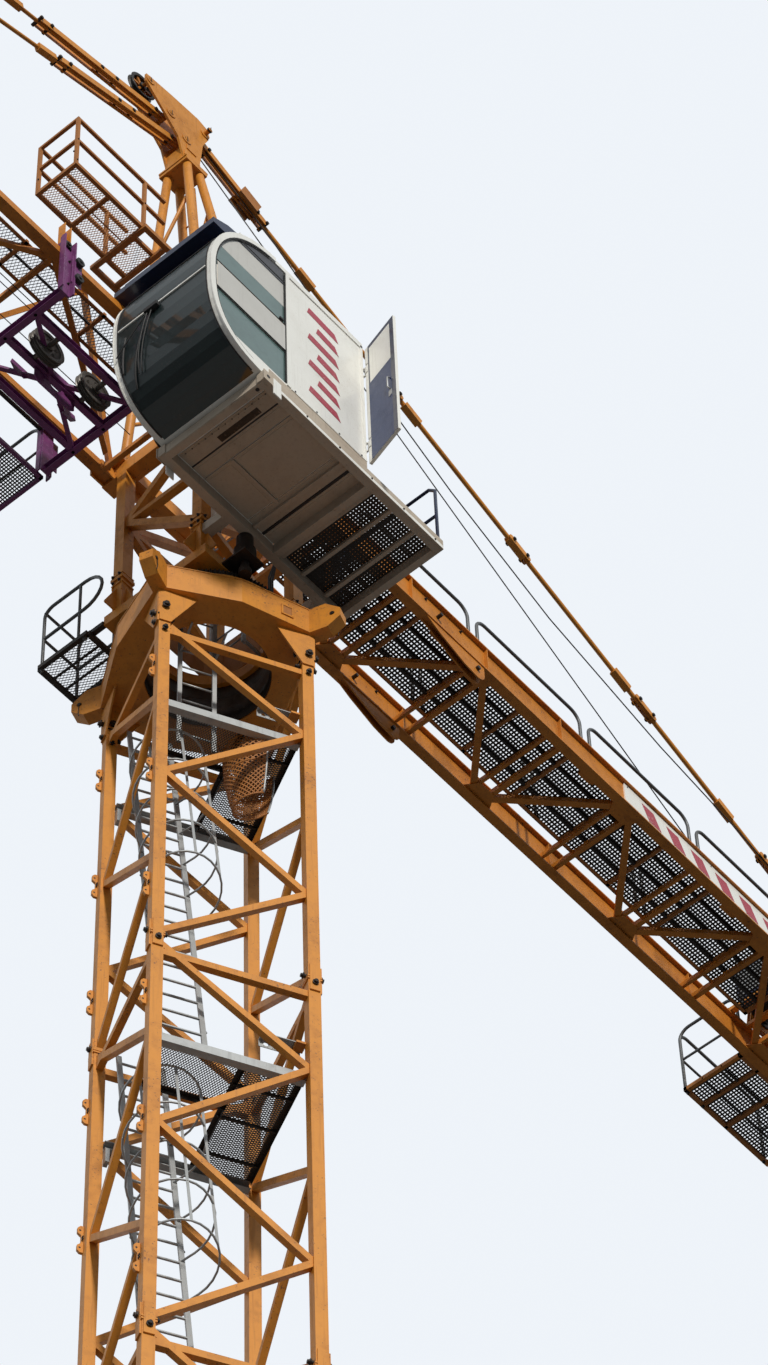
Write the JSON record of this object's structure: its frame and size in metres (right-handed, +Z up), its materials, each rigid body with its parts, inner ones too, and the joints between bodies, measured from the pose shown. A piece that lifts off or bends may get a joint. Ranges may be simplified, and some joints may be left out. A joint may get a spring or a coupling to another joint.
{
  "type": "tower crane",
  "caption": "Tower crane with a lattice mast, turning top, trolley jib, ballasted counter-jib, tied cathead and a glazed side cab.",
  "frame": {"origin": "centre of the base frame's underside, on the mast axis at ground level", "axes": "+X along the jib, +Y to the cab side, +Z up"},
  "size_m": [37.5, 4.516, 36.57],
  "materials": {
    "yellow_paint": "weathered ochre-yellow paint",
    "dark_steel": "dark mesh and tube",
    "galvanised": "dull galvanised",
    "machine_steel": "greased machined steel",
    "brown_paint": "red-brown primer",
    "white_board": "plain white board",
    "concrete": "cast concrete",
    "beige_paint": "beige paint",
    "cab_white": "white paint",
    "roof_blue": "navy paint",
    "cab_window": "tinted glass",
    "purple_paint": "dark purple paint"
  },
  "bodies": {
    "mast": {"base_frame": "machine_steel", "mast_chords": "yellow_paint", "mast_lacing_a": "yellow_paint", "mast_lacing_b": "yellow_paint", "mast_lacing_c": "yellow_paint", "mast_lacing_d": "yellow_paint", "mast_platforms": "dark_steel", "mast_ladders": "galvanised", "ring_support": "yellow_paint", "fixed_race": "machine_steel"},
    "upperworks": {"turning_race": "machine_steel", "turret_base": "yellow_paint", "turret_columns": "yellow_paint", "turret_bracing": "yellow_paint", "turret_head": "yellow_paint", "slew_drive": "machine_steel", "balcony": "dark_steel", "cathead_legs": "yellow_paint", "cathead_head": "yellow_paint", "head_sheave": "machine_steel", "cathead_platform": "brown_paint", "jib_chords": "yellow_paint", "jib_lacing_left": "yellow_paint", "jib_lacing_right": "yellow_paint", "jib_lacing_bottom": "yellow_paint", "jib_walkway": "dark_steel", "jib_tie_near": "yellow_paint", "jib_tie_far": "yellow_paint", "counter_girders": "yellow_paint", "counter_bracing": "yellow_paint", "counter_deck": "dark_steel", "counter_rail": "dark_steel", "side_board": "white_board", "side_platform": "dark_steel", "counterweights": "concrete", "hoist_winch": "machine_steel", "counter_ties": "yellow_paint", "cab_beams": "beige_paint", "cab_shell": "cab_white", "cab_roof": "roof_blue", "cab_glass": "cab_window"},
    "cab_door": {"cab_door": "cab_white"},
    "trolley": {"trolley_frame": "purple_paint", "trolley_sheaves": "machine_steel", "trolley_basket": "dark_steel"}
  },
  "joints": [
    {"name": "slew", "type": "hinge", "parent": "mast", "child": "upperworks", "pos_m": [0, 0, 26.24], "axis": [0, 0, 1], "continuous": true},
    {"name": "trolley_travel", "type": "slide", "parent": "upperworks", "child": "trolley", "axis": [1, 0, 0], "range_m": [-0.3, 20.4]},
    {"name": "cab_door_hinge", "type": "hinge", "parent": "upperworks", "child": "cab_door", "pos_m": [0.075, 2.29, 28.1], "axis": [0, 0, 1], "range_deg": [-40, 195]}
  ]
}
